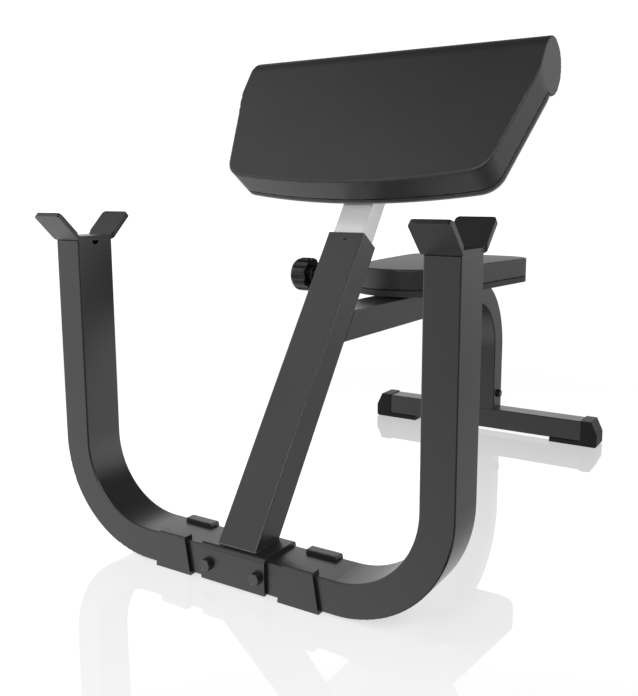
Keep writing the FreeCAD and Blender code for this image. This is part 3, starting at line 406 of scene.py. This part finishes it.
# pieces that differ from the rest of their slot: the sleeve, with a brighter painted highlight on its edges, the
# bolt heads in a paler copy of black oxide that paints them lit, the leaning board and the duller rear caps
# the sleeve's coat with a brighter painted edge highlight
highlitEdgePowder = dict(powderSettings, name="powder_coated_steel_rubbed", edge="#969697")
capPlastic = mouldedPlastic("polypropylene")
ownFinishes = {
    "post_sleeve": powderCoat(highlitEdgePowder),
    "saddle_bolts": fastenerSteel("rubbed"),
    "pad_board": stainedPlywood(plySettings, "pad_board", upright),
    "end_cap_left": capPlastic,
    "end_cap_right": capPlastic,
}
for part in frame["record"]["subparts"]:
    surface = ownFinishes.get(part["node"], finishes[part["material_slot"]])
    frame["nodes"][part["node"]].material_slots[0].material = surface
print("finishes on all nodes")


# cushions: each starts a little smaller than its solid and swells under pressure, held at its board;
# voxel in mm
cushionSettings = {
    "arm_cushion": {"node": "arm_pad", "board": "pad_board", "body": "post", "lean": leanAngle,
                    "toBoard": (0, 1, 0), "voxel": 5.0, "fill": 0.95},
    "seat_cushion": {"node": "seat_pad", "board": "seat_board", "body": "frame", "lean": 0.0,
                     "toBoard": (0, 0, -1), "voxel": 4.6, "fill": 0.95},
}
coverSettings = {
    "weld": 0.01,               # mm, points of the solid closer than this are one
    "heldVoxels": 0.5,          # height over the board that is pinned
    "tuckVoxels": 3,            # height over which the tuck grows to its full depth
    "tuckIn": 1.0,              # mm
    "crown": 2.2,               # mm
    "smoothing": 30,            # rounds
    "finer": 1,                 # times that the mesh is halved for the last form
    "frames": 20, "quality": 6, "mass": 0.3, "stretch": 40, "bend": 12, "pressure": 4.0,
}


def plainMesh(piece):
    # turns what the modifiers make into the piece's own mesh
    graph = bpy.context.evaluated_depsgraph_get()
    made = bpy.data.meshes.new_from_object(piece.evaluated_get(graph))
    piece.modifiers.clear()
    piece.data = made
    return made


def readPoints(mesh, key="co"):
    points = np.zeros(len(mesh.vertices) * 3)
    mesh.vertices.foreach_get(key, points)
    return points.reshape(-1, 3)


def writePoints(mesh, points):
    mesh.vertices.foreach_set("co", points.ravel())
    mesh.update()


def evenOut(mesh, values, rounds):
    # averages values over neighbouring points, so that the cover's small creases go and its swell stays
    ends = np.zeros(len(mesh.edges) * 2, dtype=np.int64)
    mesh.edges.foreach_get("vertices", ends)
    first, second = ends[0::2], ends[1::2]
    count = len(mesh.vertices)
    degree = np.bincount(first, minlength=count) + np.bincount(second, minlength=count)
    for _ in range(rounds):
        near = np.bincount(first, values[second], count) + np.bincount(second, values[first], count)
        values = (values + near / degree) / 2
    return values


def swell(piece, start, normals, held):
    # how far each point moves out under pressure inside the cover, with the rim at the board pinned
    group = piece.vertex_groups.new(name="board")
    group.add([int(index) for index in np.nonzero(held)[0]], 1.0, "REPLACE")
    cloth = piece.modifiers.new("cover", "CLOTH")
    cloth.settings.quality = coverSettings["quality"]
    cloth.settings.mass = coverSettings["mass"]
    cloth.settings.tension_stiffness = coverSettings["stretch"]
    cloth.settings.compression_stiffness = coverSettings["stretch"]
    cloth.settings.bending_stiffness = coverSettings["bend"]
    cloth.settings.use_pressure = True
    cloth.settings.uniform_pressure_force = coverSettings["pressure"]
    cloth.settings.vertex_group_mass = group.name
    cloth.settings.effector_weights.gravity = 0
    cloth.collision_settings.use_collision = False
    cloth.point_cache.frame_start = 1
    cloth.point_cache.frame_end = coverSettings["frames"]
    for step in range(1, coverSettings["frames"] + 1):
        scene.frame_set(step)
    graph = bpy.context.evaluated_depsgraph_get()
    moved = readPoints(piece.evaluated_get(graph).data) - start
    piece.modifiers.clear()
    piece.vertex_groups.clear()
    scene.frame_set(1)
    return evenOut(piece.data, (moved * normals).sum(axis=1), coverSettings["smoothing"])


def evenCopy(name, settings, stand):
    # the solid, turned upright, and a copy of it in even faces that a cover can be made from
    solid = bpy.data.meshes.new(name + "_solid")
    form = bmesh.new()
    form.from_mesh(frame["nodes"][settings["node"]].data)
    bmesh.ops.remove_doubles(form, verts=form.verts, dist=coverSettings["weld"] * mm)
    form.to_mesh(solid)
    form.free()
    solid.transform(stand)
    guide = bpy.data.objects.new(name + "_solid", solid)
    piece = bpy.data.objects.new(name, solid.copy())
    scene.collection.objects.link(guide)
    scene.collection.objects.link(piece)
    remesh = piece.modifiers.new("even", "REMESH")
    remesh.mode = "VOXEL"
    remesh.voxel_size = settings["voxel"] * mm
    plainMesh(piece)
    return guide, piece


def pumpUp(piece, settings, stand):
    # how far the cover stands out at each point; the fullest spot stands out by the crown, and where the
    # cover is drawn tight it lies on the foam
    mesh = piece.data
    voxel = settings["voxel"] * mm
    toBoard = np.array(settings["toBoard"], float)
    boardPoints = readPoints(frame["nodes"][settings["board"]].data) @ np.array(stand.to_3x3()).T
    boardFace = (boardPoints @ toBoard).min()
    points, normals = readPoints(mesh), readPoints(mesh, "normal")
    height = np.abs(boardFace - points @ toBoard)
    held = height < coverSettings["heldVoxels"] * voxel
    tuck = coverSettings["tuckIn"] * mm * np.clip(height / (coverSettings["tuckVoxels"] * voxel), 0, 1)
    writePoints(mesh, points - normals * tuck[:, None])
    out = swell(piece, readPoints(mesh), normals, held)
    writePoints(mesh, points)
    print(piece.name, "moves", out.min() / mm, "to", out.max() / mm, "mm under pressure")
    out = np.clip((out - tuck) / out.max(), 0, 1) * coverSettings["crown"] * mm
    return evenOut(mesh, np.where(held, 0, out), coverSettings["smoothing"])


def carrySwell(piece, guide, out):
    # the swell is carried to a finer mesh that lies on the solid, so that edges stay crisp
    piece.data.attributes.new("swell", "FLOAT", "POINT").data.foreach_set("value", out)
    finer = piece.modifiers.new("finer", "SUBSURF")
    finer.levels = finer.render_levels = coverSettings["finer"]
    wrap = piece.modifiers.new("wrap", "SHRINKWRAP")
    wrap.target = guide
    mesh = plainMesh(piece)
    out = np.zeros(len(mesh.vertices))
    mesh.attributes["swell"].data.foreach_get("value", out)
    writePoints(mesh, readPoints(mesh) + readPoints(mesh, "normal") * out[:, None])
    mesh.attributes.remove(mesh.attributes["swell"])
    print(piece.name, "has", len(mesh.polygons), "faces and swells",
          out.min() / mm, "to", out.max() / mm, "mm")


def cushion(name, settings):
    stand = Matrix.Rotation(settings["lean"], 4, "X")
    guide, piece = evenCopy(name, settings, stand)
    carrySwell(piece, guide, pumpUp(piece, settings, stand))
    bpy.data.objects.remove(guide)
    mesh = piece.data
    mesh.transform(stand.inverted())
    mesh.polygons.foreach_set("use_smooth", [True] * len(mesh.polygons))
    mesh.materials.clear()
    mesh.materials.append(finishes["vinyl_black"])
    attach(piece, settings["body"])
    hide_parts(settings["node"])


for name, settings in cushionSettings.items():
    cushion(name, settings)


# pale floor whose emission paints in its own light, brighter in front than at the rear foot, with a clear, weak
# mirror on top
floorSettings = {
    "half": 40.0,               # metres
    "drop": 0.3,                # mm under the feet
    "tone": "#a8a8a8", "roughness": 0.03, "IOR": 2.6, "glowColour": "#ffffff",
    "span": (-0.6, 0.5),        # metres along Y, at the front and at the rear foot
    "paintedGlow": (0.66, 0.46),       # there
# painted light: the floor's own emission there, dimmer towards the rear
}


def layFloor(settings):
    half, z = settings["half"], -settings["drop"] * mm
    corners = [(-half, -half, z), (half, -half, z), (half, half, z), (-half, half, z)]
    mesh = bpy.data.meshes.new("floor")
    mesh.from_pydata(corners, [], [(0, 1, 2, 3)])
    floor = bpy.data.objects.new("floor", mesh)
    scene.collection.objects.link(floor)
    material, tree, shader, place = startMaterial("floor_painted_glow", {
        "Base Color": hexColour(settings["tone"]), "Roughness": settings["roughness"],
        "IOR": settings["IOR"], "Emission Color": hexColour(settings["glowColour"])})
    along = addNode(tree, "ShaderNodeSeparateXYZ", None, {"Vector": place}).outputs["Y"]
    # painted light: the floor's emission fades from front to rear
    paintedGlow = mapRange(tree, along, *settings["span"], *settings["paintedGlow"])
    tree.links.new(paintedGlow, shader.inputs["Emission Strength"])
    mesh.materials.append(material)
    floor.visible_glossy = False         # the paint mirrors the studio, not the floor's painted glow


# the studio's sides: brightness by height of the direction looked in, from straight down to straight up;
# where a side falls off to the front, along Y, and to what share; and where it takes over from the side
# before it, along X
studioSettings = {
    "left": {
        "heights": ((-1.0, 0.35), (-0.9, 0.85), (-0.75, 1.15), (-0.4, 1.3), (-0.1, 1.0), (0.22, 1.1),
                    (0.3, 1.55), (0.42, 1.85), (0.52, 0.5), (0.65, 0.15), (0.85, 0.06), (1.0, 0.04)),
        "fall": (-0.76, -0.92), "least": 0.55,
    },
    "right": {
        "heights": ((-1.0, 0.25), (-0.4, 0.45), (-0.2, 0.3), (-0.08, 0.5), (0.1, 1.0), (0.25, 1.0),
                    (0.42, 0.4), (0.7, 0.15), (1.0, 0.04)),
        "fall": (0.55, 0.0), "least": 0.15, "takesOver": (-0.1, 0.35),
    },
    "far": {
        "heights": ((-1.0, 0.25), (-0.5, 0.6), (-0.3, 1.6), (0.2, 1.7), (0.35, 1.5), (0.45, 0.6),
                    (0.7, 0.15), (1.0, 0.04)),
        "fall": (0.55, 0.0), "least": 0.15, "takesOver": (0.58, 0.74),
    },
}
rampShare = 2                   # a ramp's colours stay under 1, so they hold the brightness divided by this


def lightStudio(sides):
    world = bpy.data.worlds.new("studio")
    scene.world = world
    world.use_nodes = True
    tree = world.node_tree
    looked = addNode(tree, "ShaderNodeTexCoord").outputs["Generated"]
    way = addNode(tree, "ShaderNodeSeparateXYZ", None, {"Vector": looked}).outputs
    rise = mapRange(tree, way["Z"], -1.0, 1.0)
    allRound = None
    for side in sides.values():
        ramp = addNode(tree, "ShaderNodeValToRGB", None, {"Fac": rise})
        steps = ramp.color_ramp.elements
        places = [(height + 1) / 2 for height, _ in side["heights"]]
        for place in places[1:-1]:
            steps.new(place)
        for step, place, (_, bright) in zip(steps, places, side["heights"]):
            step.position = place
            step.color = [bright / rampShare] * 3 + [1]
        fall = mapRange(tree, way["Y"], *side["fall"], rampShare, rampShare * side["least"], "SMOOTHSTEP")
        sky = addNode(tree, "ShaderNodeVectorMath", {"operation": "SCALE"},
                      {0: ramp.outputs["Color"], "Scale": fall}).outputs["Vector"]
        if "takesOver" in side:
            share = mapRange(tree, way["X"], *side["takesOver"], kind="SMOOTHSTEP")
            sky = mixTones(tree, share, allRound, sky)
        allRound = sky
    tree.links.new(allRound, tree.nodes["Background"].inputs["Color"])


# lamps: place, what each points at and size in metres, brightness beside the white of the studio, colour
softboxSettings = {
    "front_box": {"place": (-1.87, -1.6, 2.88), "target": (0, -0.2, 0.4), "size": 2.35, "bright": 0.95,
                  "colour": "#fffdfa"},
    "left_box": {"place": (-3.2, -2.6, 0.7), "target": (0, -0.3, 0.3), "size": 1.6, "bright": 0.2,
                 "colour": "#fffdfa"},
    "fill_box": {"place": (0.9, -2.9, 2.4), "target": (0, -0.2, 0.5), "size": 1.4, "bright": 8.0,
                 "colour": "#ffffff"},
    "edge_box": {"place": (2.2, -0.7, 2.2), "target": (0, -0.2, 0.4), "size": 0.8, "bright": 8.0,
                 "colour": "#ffffff"},
}


def hangSoftbox(name, settings):
    data = bpy.data.lights.new(name, "AREA")
    data.size = settings["size"]
    # a square lamp of this power looks as bright as asked, whatever its size
    data.energy = settings["bright"] * math.pi * settings["size"] ** 2
    data.color = hexColour(settings["colour"])[:3]
    light = bpy.data.objects.new(name, data)
    scene.collection.objects.link(light)
    light.location = settings["place"]
    aim = Vector(settings["target"]) - Vector(settings["place"])
    light.rotation_euler = aim.to_track_quat("-Z", "Y").to_euler()
    light.visible_camera = False


layFloor(floorSettings)
lightStudio(studioSettings)
for name, settings in softboxSettings.items():
    hangSoftbox(name, settings)
scene.view_settings.view_transform = "Standard"
print("floor and light set")
